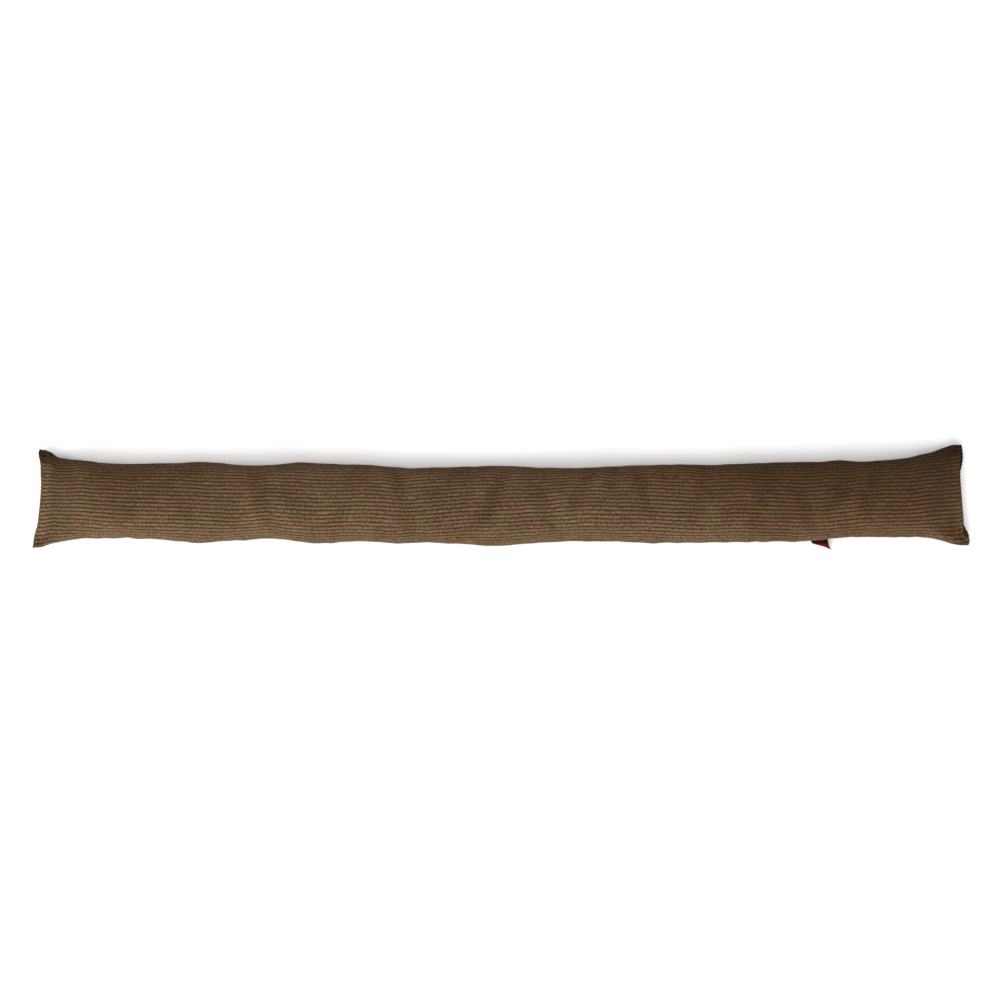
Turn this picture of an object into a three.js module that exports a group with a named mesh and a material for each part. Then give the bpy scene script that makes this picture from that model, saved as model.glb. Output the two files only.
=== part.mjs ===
import * as THREE from "three";

// Draught excluder: one length of corduroy sewn into a long flat bag, filled, and lying on its back.
// Millimetres. X runs along the bag, -Y is its front side, Z is up and the floor is at zero.

// The bag as it is sewn
const flatWidth = 100;
const girth = 2 * flatWidth;
const waleCount = 52;
const waleCrest = 0.5;
const waleValley = -0.5;
const seamValley = -1.3;

// The long bag's section
const crownPower = 2.15;
const undersidePower = 2.5;
const undersideShare = 0.47;
const sinkShare = 0.045;
const crushHeight = 5;

// The sewn ends
const endHalfThickness = 1.4;
const endSeamHeight = 20;
const endLiftLength = 50;
const endRiseLength = 56;
const endLineLength = 90;
const earDroop = 4;
const earDroopLength = 45;
const earDroopPower = 3;
const turnedEdge = 5;
const turnedEdgeHalfThickness = 3.4;
const stitchGroove = 0.7;
const stitchReach = 1;

// The ribbon tab
const ribbonWidth = 16;
const ribbonThickness = 1;
const ribbonGap = 0.4;
const tabLeft = 298.7;
const tabStandOff = 0.7;
const tabFreeLeft = { along: 6.5, out: 1, height: 1.9, reach: 2.6 };
const tabFreeRight = { along: 4.6, out: -8.8, height: 6.5, reach: 4.6 };

const tableOf = (names, rows) =>
  rows.map((row) => Object.fromEntries(row.map((value, i) => [names[i], value])));

// How far each sewn end stands in from its ears, from the front side (-1) to the back side (1).
const endLines = tableOf(["across", "left", "right"], [
  [-1, 0.8, 1.6],
  [-0.94, 1.4, 0.6],
  [-0.8, 2.2, 0.7],
  [-0.7, 3.2, 2.6],
  [-0.6, 4.6, 4.8],
  [-0.4, 5.5, 5.5],
  [0, 6.1, 5.8],
  [0.3, 5.6, 5.5],
  [0.45, 4.6, 4.4],
  [0.6, 4, 2.2],
  [0.75, 2.8, 0.8],
  [0.9, 1, 0.7],
  [0.96, 1.5, 0.8],
  [1, 2.6, 1.4],
]);

// What the bag does from its left end to its right end: where its front and back sides stand,
// and how far the corduroy has rolled round the filling toward the front. It leaves the left end
// rolled by one wale.
const stations = tableOf(["along", "front", "back", "roll"], [
  [-447, -54, 46.5, 3.85],
  [-438, -53, 45.2, 3.7],
  [-429, -48.5, 38.6, 4],
  [-419, -46, 34.4, 5.6],
  [-408, -44, 32, 7.2],
  [-381, -44.5, 28, 7.9],
  [-341, -45.5, 28, 8.4],
  [-307, -47, 29, 8.4],
  [-284, -48, 30.5, 8.7],
  [-249, -46.5, 25, 10.3],
  [-220, -44.5, 24.5, 10.4],
  [-192, -47, 29, 10.4],
  [-169, -48, 28, 10.7],
  [-130, -46.5, 26.5, 10.6],
  [-99, -49, 24.5, 9.9],
  [-77, -49, 23, 9.3],
  [-31, -50.5, 26, 5],
  [5, -51.5, 26, 3.6],
  [38, -49, 24, 3],
  [61, -47.5, 22.5, 2.7],
  [84, -47.5, 22.5, 1.9],
  [107, -47.5, 23.5, 3],
  [142, -48.5, 28, 2.9],
  [200, -49, 27, 5],
  [228, -47, 27.5, 5.6],
  [262, -47, 29, 6.8],
  [300, -46, 30, 8.5],
  [326, -44, 31.5, 8.2],
  [349, -43, 30, 6.8],
  [372, -43, 31.5, 6.7],
  [395, -42.5, 35, 6.9],
  [407, -42.5, 38.5, 6.7],
  [420, -44.5, 43, 5],
  [432, -48, 48.5, 3.6],
  [442, -51, 51, 1.6],
  [449.8, -51.5, 51, 0],
]);

const leftEnd = stations[0].along;
const rightEnd = stations[stations.length - 1].along;

// A smooth line through one column of a table, at a place in its first column.
function columnAt(table, name, place) {
  const [first] = Object.keys(table[0]);
  const last = table.length - 1;
  let i = 0;
  while (i < last - 1 && place > table[i + 1][first]) {
    i += 1;
  }
  const slopeAt = (k) => {
    const before = table[Math.max(k - 1, 0)];
    const after = table[Math.min(k + 1, last)];
    return (after[name] - before[name]) / (after[first] - before[first]);
  };
  const from = table[i];
  const to = table[i + 1];
  const span = to[first] - from[first];
  const t = (place - from[first]) / span;
  const rise = t * t * (3 - 2 * t);
  const lead = t * (1 - t) * (1 - t) * slopeAt(i);
  const trail = t * t * (t - 1) * slopeAt(i + 1);
  return from[name] + (to[name] - from[name]) * rise + span * (lead + trail);
}

const smooth = (share) => {
  const t = Math.min(Math.max(share, 0), 1);
  return t * t * (3 - 2 * t);
};

// One closed section, from its front side over the crown and back along the underside.
const sectionPoints = 360;
const tangentReach = 3;
function sectionOutline(halfWidth, height, sink) {
  const under = height * undersideShare;
  const crown = height - under;
  const outline = [];
  for (let i = 0; i < sectionPoints; i += 1) {
    const angle = (2 * Math.PI * i) / sectionPoints;
    const across = -Math.cos(angle);
    const up = Math.sin(angle);
    const power = up > 0 ? crownPower : undersidePower;
    const reach = up > 0 ? crown : under;
    const y = halfWidth * Math.sign(across) * Math.abs(across) ** (2 / power);
    const z = reach * Math.sign(up) * Math.abs(up) ** (2 / power);
    outline.push([y, Math.max(z, sink - under)]);
  }
  return outline;
}

function lengthsAlong(outline) {
  const lengths = [0];
  for (let i = 1; i <= outline.length; i += 1) {
    const from = outline[i - 1];
    const to = outline[i % outline.length];
    lengths.push(lengths[i - 1] + Math.hypot(to[0] - from[0], to[1] - from[1]));
  }
  return lengths;
}

// The cloth doesn't stretch, so a section that is drawn in at its sides stands higher.
const heightSteps = 30;
function heightFor(halfWidth, lift) {
  let low = 2 * endHalfThickness;
  let high = flatWidth;
  for (let i = 0; i < heightSteps; i += 1) {
    const middle = (low + high) / 2;
    const sink = middle * sinkShare * lift;
    const lengths = lengthsAlong(sectionOutline(halfWidth, middle, sink));
    if (lengths[lengths.length - 1] > girth) {
      high = middle;
    } else {
      low = middle;
    }
  }
  return low;
}

// Everything about the bag at one place along it. The filling rises from each turned edge in a
// quarter wave, up to where the bag is as full as its cloth allows.
function sectionAt(along) {
  const stationAt = (name, place) => columnAt(stations, name, place);
  const halfWidthAt = (place) => (stationAt("back", place) - stationAt("front", place)) / 2;
  const halfWidth = halfWidthAt(along);
  const fromEnd = Math.min(along - leftEnd, rightEnd - along);
  const settled = smooth(fromEnd / endLiftLength);
  const full = Math.min(Math.max(along, leftEnd + endRiseLength), rightEnd - endRiseLength);
  const edge = Math.sqrt(smooth(fromEnd / turnedEdge));
  const edgeThickness = endHalfThickness + (turnedEdgeHalfThickness - endHalfThickness) * edge;
  const risen = Math.min(Math.max((fromEnd - turnedEdge) / (endRiseLength - turnedEdge), 0), 1);
  const rise = Math.sin((risen * Math.PI) / 2);
  const height = 2 * edgeThickness * (1 - rise) + heightFor(halfWidthAt(full), 1) * rise;
  const sink = height * sinkShare * settled;
  const resting = height * undersideShare - sink;
  const outline = sectionOutline(halfWidth, height, sink);
  return {
    along,
    fromEnd,
    middle: stationAt("front", along) + halfWidth,
    halfWidth,
    widestHeight: endSeamHeight * (1 - settled) + resting * settled,
    roll: stationAt("roll", along),
    outline,
    lengths: lengthsAlong(outline),
  };
}

// A point of the cloth: cloth is the distance round the bag from the long front seam, raised is
// how far it stands out from the section.
function clothPoint(section, cloth, raised) {
  const { outline, lengths } = section;
  const count = outline.length;
  const total = lengths[count];
  const share = cloth / girth - section.roll / total;
  const wanted = (share - Math.floor(share)) * total;
  let i = 0;
  while (i < count - 1 && lengths[i + 1] < wanted) {
    i += 1;
  }
  const from = outline[i];
  const to = outline[(i + 1) % count];
  const t = (wanted - lengths[i]) / (lengths[i + 1] - lengths[i]);
  const before = outline[(i + count - tangentReach) % count];
  const after = outline[(i + 1 + tangentReach) % count];
  const tangent = new THREE.Vector2(after[0] - before[0], after[1] - before[1]).normalize();
  const acrossShare = (from[0] + (to[0] - from[0]) * t) / section.halfWidth;
  const sideways = Math.abs(acrossShare);
  const droop = earDroop * (1 - smooth(section.fromEnd / earDroopLength)) * sideways ** earDroopPower;
  const end = section.along < 0 ? { name: "left", inward: 1 } : { name: "right", inward: -1 };
  const setIn = columnAt(endLines, end.name, acrossShare);
  const inward = end.inward * setIn * (1 - smooth(section.fromEnd / endLineLength));
  const height = from[1] + (to[1] - from[1]) * t + section.widestHeight;
  const out = raised * smooth(height / crushHeight);
  const y = section.middle + acrossShare * section.halfWidth - tangent.y * out;
  const z = height + tangent.x * out - droop;
  return new THREE.Vector3(section.along + inward, y, Math.max(z, 0));
}

// Where the rings stand: close together at the sewn ends, evenly along the bag.
const endInsets = [0, 1, 2.6, 5, 6.6, 9, 12.5, 17, 23, 31, 41];
const bodyRings = 35;
const leftRings = endInsets.map((inset) => leftEnd + inset);
const rightRings = endInsets.map((inset) => rightEnd - inset).reverse();
const bodyFrom = leftRings[leftRings.length - 1];
const bodyTo = rightRings[0];
const bodyStep = (bodyTo - bodyFrom) / (bodyRings + 1);
const bodyPlaces = Array.from({ length: bodyRings }, (_, i) => bodyFrom + bodyStep * (i + 1));
const ringPlaces = [...leftRings, ...bodyPlaces, ...rightRings];

// Two points a wale, valley and crest; the valley that starts the round is the long seam.
const around = 2 * waleCount;
function raisedAt(index, fromEnd) {
  const stitched = Math.abs(fromEnd - turnedEdge) < stitchReach ? stitchGroove : 0;
  if (index === 0) {
    return seamValley * smooth(fromEnd / turnedEdge) - stitched;
  }
  return (index % 2 ? waleCrest : waleValley) - stitched;
}

function filledCase() {
  const points = [];
  const faces = [];
  ringPlaces.forEach((along) => {
    const section = sectionAt(along);
    for (let i = 0; i < around; i += 1) {
      points.push(clothPoint(section, (girth * i) / around, raisedAt(i, section.fromEnd)));
    }
  });
  for (let ring = 0; ring < ringPlaces.length - 1; ring += 1) {
    for (let i = 0; i < around; i += 1) {
      const a = ring * around + i;
      const b = ring * around + ((i + 1) % around);
      faces.push([a, a + around, b], [b, a + around, b + around]);
    }
  }
  const endCap = (ring, facing) => {
    const turned = Math.round((sectionAt(ringPlaces[ring]).roll / girth) * around);
    const pointOf = (i) => ring * around + ((turned + i + around) % around);
    const add = (...corners) => {
      const [a, b, c] = corners.map(pointOf);
      faces.push(facing ? [a, b, c] : [a, c, b]);
    };
    add(0, 1, -1);
    for (let i = 1; i < waleCount - 1; i += 1) {
      add(i, i + 1, -i);
      add(i + 1, -i - 1, -i);
    }
    add(waleCount - 1, waleCount, -waleCount + 1);
  };
  endCap(0, true);
  endCap(ringPlaces.length - 1, false);
  return solidFrom(points, faces);
}

function solidFrom(points, faces) {
  const geometry = new THREE.BufferGeometry().setFromPoints(points);
  geometry.setIndex(faces.flat());
  geometry.computeVertexNormals();
  return geometry;
}

// One face of the folded ribbon: down one layer, round the fold and back up the other layer.
const foldSteps = 6;
const layerPlaces = [0, 0.3, 0.6];
function hairpin(reach, radius) {
  const turn = reach - ribbonGap / 2 - ribbonThickness;
  const down = layerPlaces.map((share) => [share * turn, radius]);
  const fold = Array.from({ length: foldSteps + 1 }, (_, i) => {
    const angle = (Math.PI * i) / foldSteps;
    return [turn + radius * Math.sin(angle), radius * Math.cos(angle)];
  });
  const up = layerPlaces.map((share) => [share * turn, -radius]).reverse();
  return [...down, ...fold, ...up];
}

// The line the ribbon hangs along at one place across it, from the seam to its free fold.
const seamReach = 2;
function ribbonLine(t) {
  const section = sectionAt(tabLeft + ribbonWidth * t);
  const above = clothPoint(section, seamReach, 0);
  const below = clothPoint(section, girth - seamReach, 0);
  const up = above.sub(below);
  const out = new THREE.Vector3(0, -up.z, up.y).normalize();
  const root = clothPoint(section, 0, 0).addScaledVector(out, tabStandOff);
  const between = (name) => tabFreeLeft[name] * (1 - t) + tabFreeRight[name] * t;
  const free = new THREE.Vector3(root.x, root.y, 0);
  free.add(new THREE.Vector3(between("along"), between("out"), between("height")));
  const bend = root.clone().addScaledVector(out, between("reach"));
  return new THREE.QuadraticBezierCurve3(root, bend, free);
}

function ribbonOutline(reach) {
  const outside = hairpin(reach, ribbonGap / 2 + ribbonThickness);
  return [...outside, ...hairpin(reach, ribbonGap / 2).reverse()];
}

const ribbonSlices = 8;
function foldedRibbon() {
  const points = [];
  const faces = [];
  for (let slice = 0; slice <= ribbonSlices; slice += 1) {
    const line = ribbonLine(slice / ribbonSlices);
    const reach = line.getLength();
    ribbonOutline(reach).forEach(([along, lift]) => {
      const share = Math.min(along / reach, 1);
      const tangent = line.getTangentAt(share);
      const side = new THREE.Vector3(0, -tangent.z, tangent.y).normalize();
      points.push(line.getPointAt(share).addScaledVector(side, -lift));
    });
  }
  const edge = ribbonOutline(ribbonLine(1).getLength());
  const count = edge.length;
  for (let slice = 0; slice < ribbonSlices; slice += 1) {
    for (let i = 0; i < count; i += 1) {
      const a = slice * count + i;
      const b = slice * count + ((i + 1) % count);
      faces.push([a, b, a + count], [b, b + count, a + count]);
    }
  }
  const contour = edge.map(([along, lift]) => new THREE.Vector2(along, lift));
  const last = ribbonSlices * count;
  THREE.ShapeUtils.triangulateShape(contour, []).forEach(([a, b, c]) => {
    faces.push([a, b, c], [last + a, last + c, last + b]);
  });
  return solidFrom(points, faces);
}

const corduroy = new THREE.MeshStandardMaterial({ color: 0x6a523a, roughness: 0.95, metalness: 0 });
const ribbon = new THREE.MeshStandardMaterial({ color: 0x9c1326, roughness: 0.7, metalness: 0 });

function meshOf(name, geometry, material) {
  const mesh = new THREE.Mesh(geometry, material);
  mesh.name = name;
  return mesh;
}

const excluder = new THREE.Group();
excluder.name = "draught_excluder";
excluder.add(meshOf("case", filledCase(), corduroy));
excluder.add(meshOf("tab", foldedRibbon(), ribbon));

// The origin is under the middle of the whole thing.
const box = new THREE.Box3().setFromObject(excluder);
const centre = box.getCenter(new THREE.Vector3());
excluder.children.forEach((mesh) => mesh.geometry.translate(-centre.x, -centre.y, -box.min.z));

export default excluder;
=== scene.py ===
import math

import bpy
import numpy as np
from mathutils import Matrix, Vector


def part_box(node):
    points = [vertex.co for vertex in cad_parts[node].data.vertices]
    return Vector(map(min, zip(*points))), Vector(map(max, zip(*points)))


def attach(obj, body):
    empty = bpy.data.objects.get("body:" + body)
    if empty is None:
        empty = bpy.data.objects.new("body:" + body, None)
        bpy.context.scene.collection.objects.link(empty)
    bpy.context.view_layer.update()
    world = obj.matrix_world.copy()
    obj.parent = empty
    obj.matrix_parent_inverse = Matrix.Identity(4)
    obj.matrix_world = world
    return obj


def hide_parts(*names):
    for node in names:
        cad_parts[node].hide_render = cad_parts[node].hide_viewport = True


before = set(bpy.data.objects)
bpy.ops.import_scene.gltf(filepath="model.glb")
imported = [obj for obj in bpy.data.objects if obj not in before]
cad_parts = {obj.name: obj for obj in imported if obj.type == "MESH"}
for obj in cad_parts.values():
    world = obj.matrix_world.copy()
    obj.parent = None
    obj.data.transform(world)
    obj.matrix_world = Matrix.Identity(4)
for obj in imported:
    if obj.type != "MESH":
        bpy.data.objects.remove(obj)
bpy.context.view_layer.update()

MM = 0.001

# The empty bag is 100 mm wide, so the cloth is 200 mm round, with 52 wales
GIRTH = 200.0
WALES = 52
WALE_PITCH = GIRTH / WALES
WALE_CREST = 0.5
WALE_VALLEY = -0.8

# The filled section
CROWN_POWER = 2.15
UNDERSIDE_POWER = 2.5
UNDERSIDE_SHARE = 0.47
SINK_SHARE = 0.045
CRUSH_HEIGHT = 5.0

# The sewn ends
END_HALF_THICKNESS = 1.4
END_SEAM_HEIGHT = 20.0
END_LIFT_LENGTH = 50.0
END_RISE_LENGTH = 56.0
END_LINE_LENGTH = 90.0
EAR_DROOP = 4.0
EAR_DROOP_LENGTH = 45.0
EAR_DROOP_POWER = 3
TURNED_EDGE = 5.0
TURNED_HALF_THICKNESS = 3.4

# How far each sewn end stands in from its ears, from the front side (-1) to the back side (1):
# across, left, right.
END_LINES = np.array([
    [-1, 0.8, 1.6],
    [-0.94, 1.4, 0.6],
    [-0.8, 2.2, 0.7],
    [-0.7, 3.2, 2.6],
    [-0.6, 4.6, 4.8],
    [-0.4, 5.5, 5.5],
    [0, 6.1, 5.8],
    [0.3, 5.6, 5.5],
    [0.45, 4.6, 4.4],
    [0.6, 4, 2.2],
    [0.75, 2.4, 0.8],
    [0.9, 0.4, 0.7],
    [0.96, 0.6, 0.8],
    [1, 1.8, 1.4],
])

# Where the front and back sides stand along the bag, and how far the corduroy has rolled round
# the filling toward the front: along, front, back, roll. It leaves the left end rolled by one wale.
STATIONS = np.array([
    [-447, -54, 46.5, 3.85],
    [-438, -53, 44.4, 3.7],
    [-429, -48.5, 37.8, 4],
    [-419, -46, 34.4, 5.6],
    [-408, -44, 32, 7.2],
    [-381, -44.5, 28, 7.9],
    [-341, -45.5, 28, 8.4],
    [-307, -47, 29, 8.4],
    [-284, -48, 30.5, 8.7],
    [-249, -46.5, 25, 10.3],
    [-220, -44.5, 24.5, 10.4],
    [-192, -47, 29, 10.4],
    [-169, -48, 28, 10.7],
    [-130, -46.5, 26.5, 10.6],
    [-99, -49, 24.5, 9.9],
    [-77, -49, 23, 9.3],
    [-31, -50.5, 26, 5],
    [5, -51.5, 26, 3.6],
    [38, -49, 24, 3],
    [61, -47.5, 22.5, 2.7],
    [84, -47.5, 22.5, 1.9],
    [107, -47.5, 23.5, 3],
    [142, -48.5, 28, 2.9],
    [200, -49, 27, 5],
    [228, -47, 27.5, 5.6],
    [262, -47, 29, 6.8],
    [300, -46, 30, 8.5],
    [326, -44, 31.5, 8.2],
    [349, -43, 30, 6.8],
    [372, -43, 31.5, 6.7],
    [395, -42.5, 35, 6.9],
    [407, -42.5, 38.5, 6.7],
    [420, -44.5, 42.4, 5],
    [432, -48, 47.8, 3.6],
    [442, -51, 51, 1.6],
    [449.8, -51.5, 51, 0],
])
LEFT_END = STATIONS[0, 0]
RIGHT_END = STATIONS[-1, 0]
LENGTH = RIGHT_END - LEFT_END

# At the right end the upper panel stops short of the under one beside both ears: across, short
LAP = np.array([
    [-1, 0],
    [-0.86, 0.2],
    [-0.82, 4.6],
    [-0.77, 5.6],
    [-0.7, 3.4],
    [-0.62, 1.0],
    [-0.52, 0],
    [0.3, 0],
    [0.5, 1.4],
    [0.66, 3.0],
    [0.9, 3.0],
    [1, 1.2],
])
LAP_REACH = 9.0


def smooth(share):
    t = np.clip(share, 0, 1)
    return t * t * (3 - 2 * t)


def bump(distance, width):
    return np.exp(-((distance / width) ** 2))


def column_at(table, column, at):
    """A smooth line through one column of a table, at a place in its first column."""
    place, value = table[:, 0], table[:, column]
    last = len(place) - 1
    before = np.maximum(np.arange(last + 1) - 1, 0)
    after = np.minimum(np.arange(last + 1) + 1, last)
    slope = (value[after] - value[before]) / (place[after] - place[before])
    i = np.clip(np.searchsorted(place, at) - 1, 0, last - 1)
    span = place[i + 1] - place[i]
    t = (at - place[i]) / span
    rise = t * t * (3 - 2 * t)
    lead = t * (1 - t) ** 2 * slope[i]
    trail = t * t * (t - 1) * slope[i + 1]
    return value[i] + (value[i + 1] - value[i]) * rise + span * (lead + trail)


SECTION_POINTS = 360
HEIGHT_STEPS = 24


def section_outline(half_width, height, sink):
    """One section as two arrays, from its front side over the crown and back underneath."""
    under = height * UNDERSIDE_SHARE
    angle = 2 * np.pi * np.arange(SECTION_POINTS) / SECTION_POINTS
    across, up = -np.cos(angle), np.sin(angle)
    power = np.where(up > 0, CROWN_POWER, UNDERSIDE_POWER)
    reach = np.where(up > 0, height - under, under)
    y = half_width * np.sign(across) * np.abs(across) ** (2 / power)
    z = reach * np.sign(up) * np.abs(up) ** (2 / power)
    return y, np.maximum(z, sink - under)


def length_round(y, z):
    steps = np.hypot(np.diff(y, append=y[0]), np.diff(z, append=z[0]))
    return np.concatenate([[0], np.cumsum(steps)])


def height_for(half_width):
    """The cloth doesn't stretch, so a section that is drawn in at its sides stands higher."""
    low, high = 2 * END_HALF_THICKNESS, GIRTH / 2
    for _ in range(HEIGHT_STEPS):
        middle = (low + high) / 2
        if length_round(*section_outline(half_width, middle, middle * SINK_SHARE))[-1] > GIRTH:
            high = middle
        else:
            low = middle
    return low


def half_width_at(along):
    return (column_at(STATIONS, 2, along) - column_at(STATIONS, 1, along)) / 2


def section_at(along, edge_half_thickness):
    """The filling rises from each turned edge in a quarter wave, up to where the bag is full."""
    half_width = half_width_at(along)
    from_end = min(along - LEFT_END, RIGHT_END - along)
    settled = smooth(from_end / END_LIFT_LENGTH)
    full = np.clip(along, LEFT_END + END_RISE_LENGTH, RIGHT_END - END_RISE_LENGTH)
    risen = np.clip((from_end - TURNED_EDGE) / (END_RISE_LENGTH - TURNED_EDGE), 0, 1)
    rise = math.sin(risen * math.pi / 2)
    height = 2 * edge_half_thickness * (1 - rise) + height_for(half_width_at(full)) * rise
    sink = height * SINK_SHARE * settled
    y, z = section_outline(half_width, height, sink)
    resting = height * UNDERSIDE_SHARE - sink
    return {
        "from_end": from_end,
        "middle": column_at(STATIONS, 1, along) + half_width,
        "half_width": half_width,
        "widest_height": END_SEAM_HEIGHT * (1 - settled) + resting * settled,
        "roll": column_at(STATIONS, 3, along),
        "y": y,
        "z": z,
        "length": length_round(y, z),
    }


def cloth_line(along, rounds, edge_half_thickness=TURNED_HALF_THICKNESS):
    """Points of the cloth at one place along it, and how far each stands to the front or back.

    rounds are the distances round the bag from the long front seam.
    """
    s = section_at(along, edge_half_thickness)
    total = s["length"][-1]
    wanted = (rounds / GIRTH - s["roll"] / total) % 1 * total
    across = np.interp(wanted, s["length"], np.append(s["y"], s["y"][0]))
    up = np.interp(wanted, s["length"], np.append(s["z"], s["z"][0]))
    share = np.clip(across / s["half_width"], -1, 1)
    drooped = 1 - smooth(s["from_end"] / EAR_DROOP_LENGTH)
    droop = EAR_DROOP * drooped * np.abs(share) ** EAR_DROOP_POWER
    side, inward = (1, 1) if along < 0 else (2, -1)
    fade = 1 - smooth(s["from_end"] / END_LINE_LENGTH)
    x = along + inward * column_at(END_LINES, side, share) * fade
    points = np.stack([x, s["middle"] + across, up + s["widest_height"] - droop], axis=-1)
    return points, share


# The case's surface

# where one wale's points stand, as shares of its pitch, closer together in the valley
WALE_PLACES = np.array([0, 0.1, 0.24, 0.41, 0.59, 0.76, 0.9])
POINTS_ROUND = WALES * len(WALE_PLACES)
ROUNDS = (np.arange(WALES)[:, None] + WALE_PLACES[None]).ravel() * WALE_PITCH
BODY_RINGS = 185
WALE_POWER = 2.3
WALE_UNEVENNESS = 0.1

# The turned edge from its seam out and back over the upper panel: from the end, half thickness
EDGE_ROLL = [(1.0, 0.12), (0.4, 0.5), (0.0, 1.1), (0.35, 1.8), (1.1, 2.4), (2.1, 2.9), (3.2, 3.2)]

# The rings behind it stand close together along the sunk stitches, then ever wider apart
STITCH_INSETS = [4.2, 4.8, 5.3, 5.9, 6.7, 7.7]
FIRST_RING_GAP = 1.1
RING_GAP_GROWTH = 0.025
CLOSE_RINGS_REACH = 60


def ring_places():
    """Each ring's distance along the bag and, near the ends, its half thickness."""
    insets = list(STITCH_INSETS)
    while insets[-1] < CLOSE_RINGS_REACH:
        insets.append(insets[-1] + FIRST_RING_GAP + RING_GAP_GROWTH * insets[-1])
    near = EDGE_ROLL + [(inset, TURNED_HALF_THICKNESS) for inset in insets]
    inner = insets[-1]
    body = np.linspace(LEFT_END + inner, RIGHT_END - inner, BODY_RINGS + 2)[1:-1]
    left = [(LEFT_END + inset, thickness) for inset, thickness in near]
    right = [(RIGHT_END - inset, thickness) for inset, thickness in reversed(near)]
    return left + [(place, TURNED_HALF_THICKNESS) for place in body] + right


class Ripple:
    """A smooth random field over the cloth, from a seeded lattice, about -1 to 1."""

    def __init__(self, seed, along_mm, round_mm):
        self.along = along_mm
        self.rows = int(LENGTH / along_mm) + 6
        self.columns = max(int(round(GIRTH / round_mm)), 1)
        self.values = np.random.default_rng(seed).uniform(-1, 1, (self.rows, self.columns))

    def value(self, i, j):
        return self.values[np.clip(i, 0, self.rows - 1), j % self.columns]

    def __call__(self, along, around):
        u = (along - LEFT_END) / self.along + 2
        v = around / GIRTH * self.columns
        i, j = np.floor(u).astype(int), np.floor(v).astype(int)
        s, t = smooth(u - i), smooth(v - j)
        low = self.value(i, j) * (1 - t) + self.value(i, j + 1) * t
        high = self.value(i + 1, j) * (1 - t) + self.value(i + 1, j + 1) * t
        return low * (1 - s) + high * s


def normals_of(points):
    along = np.gradient(points, axis=0)
    around = np.roll(points, -1, axis=1) - np.roll(points, 1, axis=1)
    n = np.cross(along, around)
    return n / np.maximum(np.linalg.norm(n, axis=-1, keepdims=True), 1e-9)


# Soft lumps of the filling: seed, size along, size round, height, where they start behind the
# sewn ends and how far from there they are full.
LUMPS = [
    (3, 46, 40, 0.8, 6, 40),
    (5, 21, 24, 0.5, 4, 24),
    (7, 9, 14, 0.22, 4, 12),
]

# How far the wales stray from straight: seed, size along, size round, distance
STRAYS = [
    (29, 50, 42, 0.5),
    (31, 19, 13, 0.35),
    (37, 6, WALE_PITCH, 0.14),
]

# The cloth gathered behind the sewn ends, their sunk stitches, and the sunk and puckered long seam
GATHER_HEIGHT = 0.6
GATHER_MIDDLE = 8
GATHER_REACH = 9
STITCH_DEPTH = 0.35
STITCH_PLACE = TURNED_EDGE + 0.4
STITCH_WIDTH = 1.2
PUCKER_HEIGHT = 0.5
PUCKER_MIDDLE = 3
PUCKER_REACH = 4
SEAM_DEPTH = 1.5
SEAM_WIDTH = 1.6

# Soft creases across the bag where the filling parts: place along, slant, depth, width, and the
# stretch of cloth that each crosses, measured round from the front seam.
CREASES = [
    (-352, 10, 0.7, 9, 30, 90),
    (-298, -8, 0.6, 8, 20, 75),
    (-224, -12, 1.4, 8, 15, 95),
    (-150, 8, 0.8, 8, 20, 75),
    (-91, -10, 1.3, 8, 10, 100),
    (-5, 14, 1.5, 7, 20, 95),
    (45, -12, 1.1, 8, 5, 70),
    (78, 10, 1.2, 7, 30, 90),
    (110, 8, 0.9, 7, 45, 105),
    (136, -14, 1.2, 8, 25, 100),
    (191, 9, 1.1, 8, 25, 100),
    (248, 12, 0.9, 8, 15, 90),
    (291, -9, 1.2, 7, 5, 75),
    (312, -14, 0.8, 4, 0, 38),
    (326, 9, 1.0, 8, 30, 95),
    (352, 9, 0.8, 8, 25, 85),
]

# Folds gathered at the corner ears: end, start round from the front seam, how fast it runs round
# as it leaves the end, depth, width, reach.
EAR_FOLDS = [
    (-1, 6, 0.30, 1.0, 2.4, 26),
    (-1, 12, 0.22, 0.8, 2.2, 20),
    (-1, 92, -0.28, 1.2, 2.2, 24),
    (-1, 97, -0.18, 1.2, 1.8, 16),
    (1, 4, 0.42, 2.0, 1.6, 40),
    (1, 8.5, 0.38, 1.9, 1.6, 38),
    (1, 14, 0.30, 1.2, 1.9, 30),
    (1, 95, -0.25, 0.9, 2.4, 26),
    (1, 84, -0.20, 0.8, 3.0, 40),
    (-1, 190, -0.25, 0.9, 2.6, 24),
    (1, 192, -0.25, 0.9, 2.6, 26),
    (-1, 108, 0.25, 0.9, 2.6, 24),
    (1, 108, 0.25, 0.9, 2.6, 26),
]


def crease_depth(along, around):
    total = 0 * along
    for place, slant, depth, width, low, high in CREASES:
        centre = place + slant * (2 * around - low - high) / (high - low)
        reach = smooth((around - low) / 18) * smooth((high - around) / 18)
        away = np.abs(along - centre)
        total += depth * (bump(away, width) - 0.35 * bump(away - 1.9 * width, width)) * reach
    return total


def fold_depth(along, around, from_end):
    total = 0 * along
    for end, start, drift, depth, width, reach in EAR_FOLDS:
        fade = bump(from_end, reach) * smooth(from_end / 5) * (np.sign(along) == end)
        total += depth * bump(around - start - drift * from_end, width) * fade
    return total


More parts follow.
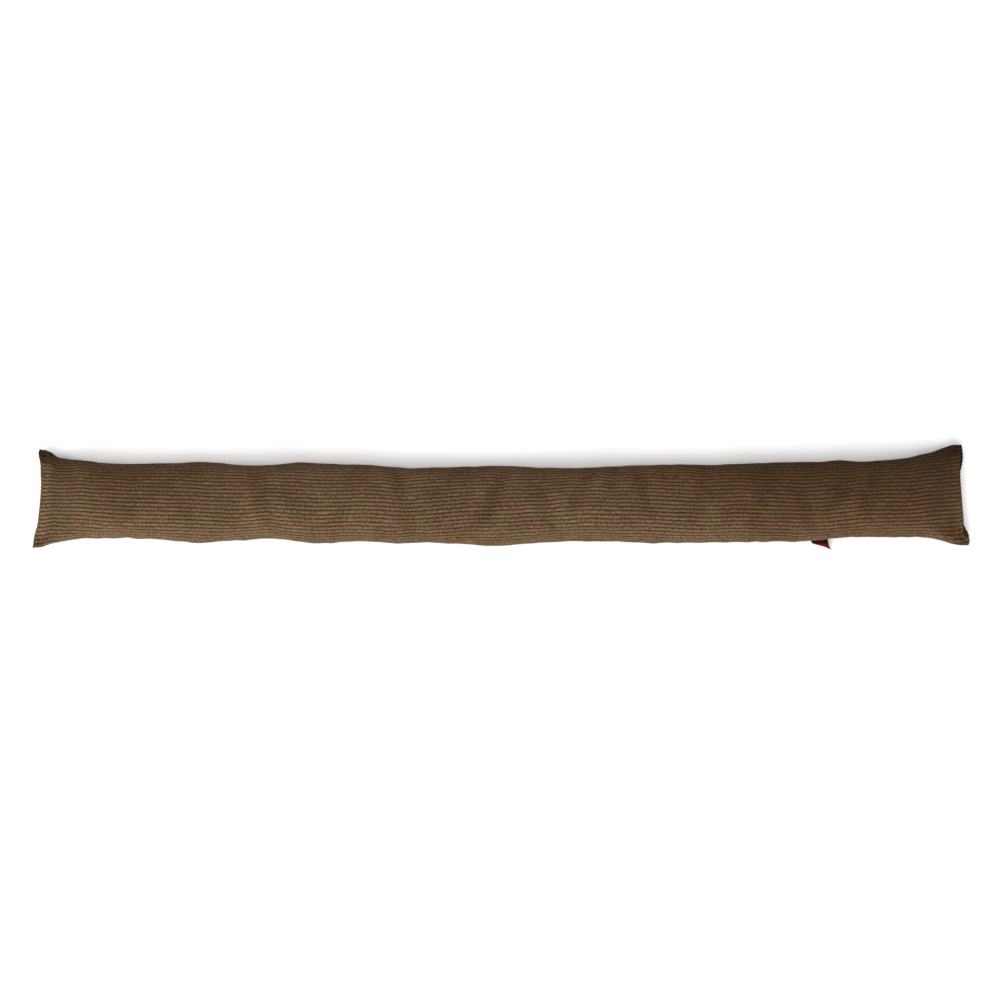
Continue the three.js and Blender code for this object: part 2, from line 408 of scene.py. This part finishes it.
def relief(along, around, from_end):
    """How far the cloth stands out from the plain filled form, apart from its wales."""
    out = 0 * along
    for seed, size_along, size_round, height, start, run in LUMPS:
        lump = Ripple(seed, size_along, size_round)(along, around)
        out += height * lump * smooth((from_end - start) / run)
    out -= crease_depth(along, around) * smooth((from_end - 6) / 40)
    out -= fold_depth(along, around, from_end)
    gather = Ripple(11, 400, 7)(along, around) * smooth(from_end / 4)
    out += GATHER_HEIGHT * gather * bump(from_end - GATHER_MIDDLE, GATHER_REACH)
    out -= STITCH_DEPTH * bump(from_end - STITCH_PLACE, STITCH_WIDTH)
    seam = np.minimum(around, GIRTH - around)
    pucker = Ripple(17, 7, 300)(along, around) * smooth((from_end - 5) / 10)
    out += PUCKER_HEIGHT * pucker * bump(seam - PUCKER_MIDDLE, PUCKER_REACH)
    out -= SEAM_DEPTH * bump(seam, SEAM_WIDTH) * smooth((from_end - 3) / 8)
    return out


def wander(along, around, from_end):
    """The wales don't run quite straight: how far the cloth has slipped round the filling."""
    slip = 0 * along
    for seed, size_along, size_round, distance in STRAYS:
        slip += distance * Ripple(seed, size_along, size_round)(along, around)
    return slip * smooth((from_end - 4) / 30)


# How much lighter or darker the pile is painted: in patches at random (seed, size along, size round,
# amount), a painted sheen near the ends, and painted shade in hollows, ears, seams, the back side and
# the ends
TONE_PATCHES = [
    (41, 24, 20, 0.10),
    (43, 9, 9, 0.07),
]
# painted sheen highlight along each rolled end, painted into the colour
PAINTED_SHEEN_LEFT = 0.40
PAINTED_SHEEN_RIGHT = 0.24
# painted shade: in creases, folds, ears, along the long seam, under the lap, toward the back side and
# the ends
CREASE_SHADE = 0.12
FOLD_SHADE = 0.20
BACK_EAR_SHADE = 0.55
FRONT_EAR_SHADE = 0.15
SEAM_SHADE = 0.25
LAP_SHADE = 0.7
BACK_SHADE = 0.14
BACK_SHADE_RIGHT = 0.26
BACK_SHADE_LEFT = 0.14
RIGHT_SHADE = 0.31
LEFT_SHADE = 0.05


def tone_and_painted_light_of(along, around, from_end, share, lapped):
    """How light the pile is painted: 1 is plain, lower with painted shade in troughs and at the ears,
    higher with painted sheen near the ends.
    """
    tone_and_painted_light = 1 + 0 * along
    for seed, size_along, size_round, amount in TONE_PATCHES:
        tone_and_painted_light += amount * Ripple(seed, size_along, size_round)(along, around)
    # painted shade in the creases and in the folds at the ears
    tone_and_painted_light -= CREASE_SHADE * crease_depth(along, around)
    tone_and_painted_light -= FOLD_SHADE * fold_depth(along, around, from_end)
    # a painted sheen highlight along each rolled end, fading toward the ears
    painted_sheen_left = PAINTED_SHEEN_LEFT * bump(from_end - 4, 7)
    painted_sheen_right = PAINTED_SHEEN_RIGHT * bump(from_end - 4, 8)
    painted_sheen = np.where(along < 0, painted_sheen_left, painted_sheen_right)
    tone_and_painted_light += painted_sheen * (1 - smooth((np.abs(share) - 0.6) / 0.3))
    # painted shade at the ears, most at the back ones that face away from the light
    back_ear = smooth((share - 0.6) / 0.3) * bump(from_end, 24)
    front_ear = smooth((-share - 0.75) / 0.25) * bump(from_end, 14)
    tone_and_painted_light -= BACK_EAR_SHADE * back_ear + FRONT_EAR_SHADE * front_ear
    # painted shade along the groove of the long seam
    tone_and_painted_light -= SEAM_SHADE * bump(np.minimum(around, GIRTH - around), 2.0)
    # painted shade toward the back side, and toward the right end and a little the left, where less
    # light falls
    right = smooth((along - 90) / 220)
    left = smooth((-along - 250) / 120)
    toward_back = BACK_SHADE + BACK_SHADE_RIGHT * right + BACK_SHADE_LEFT * left
    tone_and_painted_light *= (1 - toward_back * share) * (1 - RIGHT_SHADE * right - LEFT_SHADE * left)
    # painted shade in the crease where the under panel shows at the right end
    return np.clip(tone_and_painted_light - LAP_SHADE * lapped, 0.15, 1.5)


def crease_pairs(end):
    """Which points of the upper and the under panel meet at one end of the bag."""
    corner = int(round(column_at(STATIONS, 3, end) / GIRTH * POINTS_ROUND))
    steps = np.arange(1, POINTS_ROUND // 2)
    return (corner + steps) % POINTS_ROUND, (corner - steps) % POINTS_ROUND


def case_surface():
    places = ring_places()
    along = np.array([place for place, _ in places])[:, None] + 0 * ROUNDS[None]
    thickness = np.array([half for _, half in places])[:, None] + 0 * along
    around = ROUNDS[None] + 0 * along
    from_end = np.minimum(along - LEFT_END, RIGHT_END - along)
    slipped = around + wander(along, around, from_end)
    lines = [cloth_line(place, slipped[i], half) for i, (place, half) in enumerate(places)]
    base = np.array([line[0] for line in lines])
    share = np.array([line[1] for line in lines])
    shape = base + normals_of(base) * relief(along, around, from_end)[..., None]

    ridge = 1 - np.abs(2 * (around / WALE_PITCH % 1) - 1) ** WALE_POWER
    height = ridge * (1 + WALE_UNEVENNESS * Ripple(23, 9, WALE_PITCH)(along, around))
    full = np.minimum(thickness / TURNED_HALF_THICKNESS, 1) * smooth(shape[..., 2] / CRUSH_HEIGHT)
    out = (WALE_VALLEY + (WALE_CREST - WALE_VALLEY) * height) * full
    points = shape + normals_of(shape) * out[..., None]
    points[..., 2] = np.maximum(points[..., 2], 0)

    # the upper panel and the crease between the panels draw back at the right end
    upper = (around > 0) & (around < GIRTH / 2)
    crease = np.zeros(upper.shape, bool)
    crease[-1] = True
    short = column_at(LAP, 1, share) * (along > 0)
    near = np.clip(1 - (from_end - EDGE_ROLL[0][0]) / LAP_REACH, 0, 1)
    points[..., 0] -= short * near * (upper | crease)
    # where the under panel shows, which gets painted shade
    lapped = short / LAP[:, 1].max() * bump(from_end, 2.5) * (~upper | crease)

    # the two panels meet in a crease along each end
    for row, end in ((0, LEFT_END), (-1, RIGHT_END)):
        top, under = crease_pairs(end)
        points[row, top] = points[row, under] = (points[row, top] + points[row, under]) / 2
    return points, along, around, height * full, tone_and_painted_light_of(along, around, from_end, share, lapped)


def grid_faces(rows, columns):
    a = (np.arange(rows - 1)[:, None] * columns + np.arange(columns)[None]).ravel()
    b = (np.arange(rows - 1)[:, None] * columns + (np.arange(columns)[None] + 1) % columns).ravel()
    return np.stack([a, a + columns, b + columns, b], axis=-1)


def new_object(name, points, faces, uv):
    mesh = bpy.data.meshes.new(name)
    mesh.from_pydata((points * MM).tolist(), [], faces)
    mesh.uv_layers.new(name="cloth").data.foreach_set("uv", np.ascontiguousarray(uv).ravel())
    mesh.shade_smooth()
    made = bpy.data.objects.new(name, mesh)
    bpy.context.scene.collection.objects.link(made)
    return made


def make_case(offset):
    points, along, around, height, tone_and_painted_light = case_surface()
    rows, columns = along.shape
    faces = grid_faces(rows, columns)
    uv = np.stack([(along - LEFT_END).ravel()[faces], around.ravel()[faces]], axis=-1) * MM
    wrapped = faces[:, 0] % columns == columns - 1
    uv[wrapped, 2:, 1] = GIRTH * MM

    # the end rings' upper and under points are the same points
    same = np.arange(rows * columns)
    for first, end in ((0, LEFT_END), ((rows - 1) * columns, RIGHT_END)):
        top, under = crease_pairs(end)
        same[first + under] = first + top
    kept, faces = np.unique(same[faces], return_inverse=True)
    faces = faces.reshape(-1, 4)

    case = new_object("corduroy_case", (points - offset).reshape(-1, 3)[kept], faces.tolist(), uv)
    # the pile's random tone together with its painted light and shade
    for name, values in (("wale", height), ("tone_and_painted_light", tone_and_painted_light)):
        layer = case.data.attributes.new(name, "FLOAT", "POINT")
        layer.data.foreach_set("value", values.ravel()[kept])
    return case


# Materials


class Nodes:
    """Short ways to add shader nodes to one material."""

    def __init__(self, name):
        self.material = bpy.data.materials.new(name)
        self.material.use_nodes = True
        self.tree = self.material.node_tree
        self.tree.nodes.clear()
        self.output = self.tree.nodes.new("ShaderNodeOutputMaterial")

    def add(self, kind, **settings):
        node = self.tree.nodes.new(kind)
        for name, value in settings.items():
            setattr(node, name, value)
        return node

    def put(self, socket, value):
        if isinstance(value, bpy.types.NodeSocket):
            self.tree.links.new(value, socket)
        else:
            socket.default_value = value

    def math(self, operation, a, b=0.0):
        node = self.add("ShaderNodeMath", operation=operation)
        self.put(node.inputs[0], a)
        self.put(node.inputs[1], b)
        return node.outputs[0]

    def spread(self, value, low, high, to_low=0.0, to_high=1.0):
        node = self.add("ShaderNodeMapRange", interpolation_type="SMOOTHSTEP")
        for i, v in enumerate((value, low, high, to_low, to_high)):
            self.put(node.inputs[i], v)
        return node.outputs[0]

    def attribute(self, name):
        return self.add("ShaderNodeAttribute", attribute_name=name).outputs["Fac"]

    def noise(self, vector, scale, detail=2.0, roughness=0.5):
        """Noise with its own scale in each direction of the cloth."""
        stretch = self.add("ShaderNodeMapping")
        self.put(stretch.inputs["Vector"], vector)
        stretch.inputs["Scale"].default_value = scale
        node = self.add("ShaderNodeTexNoise")
        self.put(node.inputs["Vector"], stretch.outputs["Vector"])
        node.inputs["Scale"].default_value = 1
        node.inputs["Detail"].default_value = detail
        node.inputs["Roughness"].default_value = roughness
        return node.outputs["Fac"]

    def mix(self, factor, a, b, blend="MIX"):
        node = self.add("ShaderNodeMix", data_type="RGBA", blend_type=blend)
        self.put(node.inputs[0], factor)
        self.put(node.inputs[6], a)
        self.put(node.inputs[7], b)
        return node.outputs[2]

    def bump(self, height, strength, distance):
        node = self.add("ShaderNodeBump")
        node.inputs["Strength"].default_value = strength
        node.inputs["Distance"].default_value = distance
        self.put(node.inputs["Height"], height)
        return node.outputs["Normal"]

    def finish(self, colour, roughness, normal, constants):
        shader = self.add("ShaderNodeBsdfPrincipled")
        self.put(shader.inputs["Base Color"], colour)
        self.put(shader.inputs["Roughness"], roughness)
        if normal is not None:
            self.put(shader.inputs["Normal"], normal)
        for name, value in constants.items():
            shader.inputs[name].default_value = value
        self.put(self.output.inputs["Surface"], shader.outputs["BSDF"])
        return self.material


GREENISH_BROWN = (0.077, 0.050, 0.023, 1)
REDDISH_BROWN = (0.090, 0.047, 0.026, 1)
WORN_BROWN = (0.114, 0.071, 0.040, 1)
VALLEY_BROWN = (0.023, 0.0095, 0.0025, 1)
SPECK_BROWN = (0.20, 0.14, 0.09, 1)
SHADE_TINT = (1.0, 0.84, 0.72, 1)
LIGHT_TINT = (1.0, 1.08, 1.14, 1)


def corduroy():
    n = Nodes("brown_corduroy")
    cloth = n.add("ShaderNodeUVMap", uv_map="cloth").outputs["UV"]
    brushed = n.spread(n.noise(cloth, (55, 70, 1), 2), 0.42, 0.66, 0, 0.35)
    crest = n.math("MAXIMUM", n.spread(n.attribute("wale"), 0.04, 0.8), brushed)

    # the pile's colour drifts between a redder and a greener brown
    patches = n.noise(cloth, (42, 48, 1), 3, 0.6)
    brown = n.mix(n.spread(patches, 0.36, 0.64), GREENISH_BROWN, REDDISH_BROWN)
    streaks = n.noise(cloth, (90, 700, 1), 2, 0.6)
    brown = n.mix(n.spread(streaks, 0.35, 0.7, 0, 0.6), brown, WORN_BROWN)
    colour = n.mix(crest, VALLEY_BROWN, brown)

    # tufts lie in short bars across each wale
    tufts = n.noise(cloth, (520, 330, 1), 3, 0.75)
    colour = n.mix(1.0, colour, n.spread(tufts, 0.32, 0.68, 0.52, 1.50), "MULTIPLY")
    specks = n.noise(cloth, (480, 560, 1), 0)
    colour = n.mix(n.spread(specks, 0.73, 0.83, 0, 0.45), colour, SPECK_BROWN)

    # the painted shade also darkens and warms the pile's colour, and the painted light lightens and
    # cools it
    tone_and_painted_light = n.attribute("tone_and_painted_light")
    warmth = n.mix(n.spread(tone_and_painted_light, 0.5, 1.3), SHADE_TINT, LIGHT_TINT)
    colour = n.mix(1.0, n.mix(1.0, colour, tone_and_painted_light, "MULTIPLY"), warmth, "MULTIPLY")

    fibre = n.noise(cloth, (1500, 1100, 1), 2, 0.7)
    height = n.math("ADD", n.math("MULTIPLY", tufts, crest), n.math("MULTIPLY", fibre, 0.4))
    return n.finish(colour, n.spread(crest, 0, 1, 1.0, 0.86), n.bump(height, 0.6, 0.0006), {
        "Specular IOR Level": 0.06,
        "Sheen Weight": 0.09,
        "Sheen Roughness": 0.5,
        "Sheen Tint": (0.92, 0.68, 0.42, 1),
    })


DARK_RED = (0.13, 0.0006, 0.005, 1)
CLEAR_RED = (0.25, 0.002, 0.014, 1)
GROOVE_RED = (0.06, 0.001, 0.003, 1)
# painted shade where the ribbon goes in under the case's bulge
PAINTED_SHADE_RED = (0.010, 0.0002, 0.0008, 1)
FRAYED_RED = (0.50, 0.08, 0.12, 1)


def red_ribbon():
    n = Nodes("red_ribbon")
    cloth = n.add("ShaderNodeUVMap", uv_map="cloth").outputs["UV"]
    free = n.attribute("free")
    ribs = n.add("ShaderNodeTexWave", wave_type="BANDS", bands_direction="Y", wave_profile="SIN")
    n.put(ribs.inputs["Vector"], cloth)
    ribs.inputs["Scale"].default_value = 420
    ribs.inputs["Distortion"].default_value = 0.4
    rib = ribs.outputs["Fac"]
    threads = n.noise(cloth, (1300, 700, 1), 2, 0.7)
    red = n.mix(n.spread(threads, 0.3, 0.7), DARK_RED, CLEAR_RED)
    red = n.mix(n.spread(rib, 0.0, 0.5, 0.45, 0.0), red, GROOVE_RED)
    # painted shade: darker toward the seam under the case's bulge, lighter toward the free fold
    red = n.mix(n.spread(free, 0.25, 0.95), PAINTED_SHADE_RED, red)
    dots = n.noise(cloth, (900, 900, 1), 1)
    frayed = n.math("MULTIPLY", n.spread(dots, 0.55, 0.7), n.spread(free, 0.8, 1.0, 0, 0.6))
    red = n.mix(frayed, red, FRAYED_RED)
    return n.finish(red, n.spread(threads, 0.3, 0.7, 0.5, 0.65), n.bump(rib, 0.5, 0.0002), {
        "Specular IOR Level": 0.03,
    })


# The ribbon tab

RIBBON_WIDTH = 16.0
RIBBON_THICKNESS = 0.55
RIBBON_GAP = 0.5
TAB_LEFT = 298.7
TAB_STAND_OFF = 0.7
TAB_TUCK = -0.9
# how far the free fold's surface waves in and out
FOLD_WAVE = 0.35
# how far the free fold lies from the seam: along, out, height above the floor, reach of the bend
FREE_LEFT = np.array([6.5, 1.0, 1.9, 2.6])
FREE_RIGHT = np.array([4.6, -8.8, 6.5, 4.6])
SLICES = 40
FOLD_STEPS = 10
LAYER_STEPS = 12
LINE_STEPS = 40


def hairpin(reach, radius, turn_radius):
    """Down one layer, round the fold and up the other: each point's distance and offset."""
    turn = reach - turn_radius
    down = [(turn * i / LAYER_STEPS, radius) for i in range(LAYER_STEPS)]
    angles = np.pi * np.arange(FOLD_STEPS + 1) / FOLD_STEPS
    fold = [(turn + radius * math.sin(a), radius * math.cos(a)) for a in angles]
    up = [(turn * (LAYER_STEPS - 1 - i) / LAYER_STEPS, -radius) for i in range(LAYER_STEPS)]
    return down + fold + up


def bezier(points, t):
    a, b, c = points
    return a * (1 - t) ** 2 + 2 * b * t * (1 - t) + c * t * t


def bezier_slope(points, t):
    a, b, c = points
    return 2 * (1 - t) * (b - a) + 2 * t * (c - b)


def ribbon_line(t):
    """The line the ribbon lies along at one place across it, from inside the seam to its fold."""
    beside_seam = np.array([GIRTH - 2, 0, 2])
    (below, seam, above), _ = cloth_line(TAB_LEFT + RIBBON_WIDTH * t, beside_seam)
    up = above - below
    out = np.array([0, -up[2], up[1]]) / math.hypot(up[1], up[2])
    ahead, aside, height, reach = FREE_LEFT * (1 - t) + FREE_RIGHT * t
    seat = seam + out * TAB_STAND_OFF
    free = np.array([seat[0] + ahead, seat[1] + aside, height])
    return seam + out * TAB_TUCK, seat + out * reach, free


def tab_surface():
    inner = RIBBON_GAP / 2
    outer = inner + RIBBON_THICKNESS
    points, uvs, frees = [], [], []
    for i in range(SLICES + 1):
        t = i / SLICES
        path = ribbon_line(t)
        steps = np.array([bezier(path, k / LINE_STEPS) for k in range(LINE_STEPS + 1)])
        long = np.linalg.norm(np.diff(steps, axis=0), axis=1).sum()
        for distance, offset in hairpin(long, outer, outer) + hairpin(long, inner, outer)[::-1]:
            share = min(distance / long, 1.0)
            slope = bezier_slope(path, share)
            side = np.array([0, -slope[2], slope[1]]) / math.hypot(slope[1], slope[2])
            curl = FOLD_WAVE * math.sin(2.2 * math.pi * t + 0.6) * share
            points.append(bezier(path, share) - side * (offset + curl))
            uvs.append((RIBBON_WIDTH * t, distance if offset > 0 else 2 * long - distance))
            frees.append(share)
    shape = (SLICES + 1, -1)
    return np.array(points).reshape(*shape, 3), np.array(uvs).reshape(*shape, 2) * MM, frees


def make_tab(offset):
    points, uvs, frees = tab_surface()
    rows, columns = points.shape[:2]
    faces = grid_faces(rows, columns)[:, ::-1].tolist()
    for first, flip in ((0, True), ((rows - 1) * columns, False)):
        for k in range(columns // 2 - 1):
            face = [first + k, first + k + 1, first + columns - 2 - k, first + columns - 1 - k]
            faces.append(face[::-1] if flip else face)
    uv = uvs.reshape(-1, 2)[np.array(faces)]
    tab = new_object("ribbon_tab", (points - offset).reshape(-1, 3), faces, uv)
    tab.data.attributes.new("free", "FLOAT", "POINT").data.foreach_set("value", frees)
    return tab


# The pieces in their frame


def frame_offset():
    """How far the stations stand from the frame, found from the case's ends and front side."""
    low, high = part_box("case")
    edge_half_thickness = 1.0
    left, right = [cloth_line(place, ROUNDS, edge_half_thickness)[0] for place in (LEFT_END, RIGHT_END)]
    middle = (left[:, 0].min() + right[:, 0].max()) / 2
    return np.array([middle - (low[0] + high[0]) / 2 / MM, STATIONS[0, 1] - low[1] / MM, 0])


OFFSET = frame_offset()

case = make_case(OFFSET)
case.data.materials.append(corduroy())
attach(case, "root")
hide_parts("case")

tab = make_tab(OFFSET)
tab.data.materials.append(red_ribbon())
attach(tab, "root")
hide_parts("tab")


# Floor, light and camera

FLOOR_HALF_LENGTH = 12000.0
SKY_COLOUR = (0.97, 0.98, 1.0, 1)
SKY_STRENGTH = 0.40
LAMP_COLOUR = (1.0, 0.99, 0.97)
# name, place and size in metres, watts
LAMPS = [
    ("key", (-0.5, -3.2, 2.9), 2.8, 176),
    ("front", (-0.2, -1.1, 2.1), 0.9, 20),
    ("left", (-1.7, -0.2, 1.5), 1.0, 16),
    ("right", (1.7, -0.2, 1.5), 1.0, 8),
]
CAMERA_DISTANCE = 2.0
CAMERA_ELEVATION = math.radians(72)
CAMERA_AIM = Vector((-0.0007, -0.0053, 0.020))
CAMERA_LENS = 74.95
CAMERA_SENSOR = 36


def make_floor():
    half = FLOOR_HALF_LENGTH
    corners = np.array([[-half, -half, 0], [half, -half, 0], [half, half, 0], [-half, half, 0]])
    floor = new_object("floor", corners, [[0, 1, 2, 3]], corners[:, :2] * MM)
    n = Nodes("white_floor")
    floor.data.materials.append(n.finish((0.9, 0.9, 0.9, 1), 0.9, None, {"Specular IOR Level": 0.1}))


def area_light(name, place, size, watts):
    data = bpy.data.lights.new(name, "AREA")
    data.shape = "DISK"
    data.size = size
    data.energy = watts
    data.color = LAMP_COLOUR
    light = bpy.data.objects.new(name, data)
    light.location = place
    light.rotation_euler = (-Vector(place)).to_track_quat("-Z", "Y").to_euler()
    bpy.context.scene.collection.objects.link(light)


def make_light():
    world = bpy.data.worlds.new("studio")
    world.use_nodes = True
    background = world.node_tree.nodes["Background"]
    background.inputs["Color"].default_value = SKY_COLOUR
    background.inputs["Strength"].default_value = SKY_STRENGTH
    bpy.context.scene.world = world
    for lamp in LAMPS:
        area_light(*lamp)


def make_camera():
    """The camera looks down at 72 degrees from 2 m, with 75 mm on a 36 mm frame."""
    data = bpy.data.cameras.new("camera")
    data.sensor_width = CAMERA_SENSOR
    data.lens = CAMERA_LENS
    data.clip_end = 100
    camera = bpy.data.objects.new("camera", data)
    back = Vector((0, -math.cos(CAMERA_ELEVATION), math.sin(CAMERA_ELEVATION)))
    camera.location = CAMERA_AIM + back * CAMERA_DISTANCE
    camera.rotation_euler = (-back).to_track_quat("-Z", "Y").to_euler()
    bpy.context.scene.collection.objects.link(camera)
    bpy.context.scene.camera = camera


make_floor()
make_light()
make_camera()
bpy.context.scene.view_settings.view_transform = "Standard"
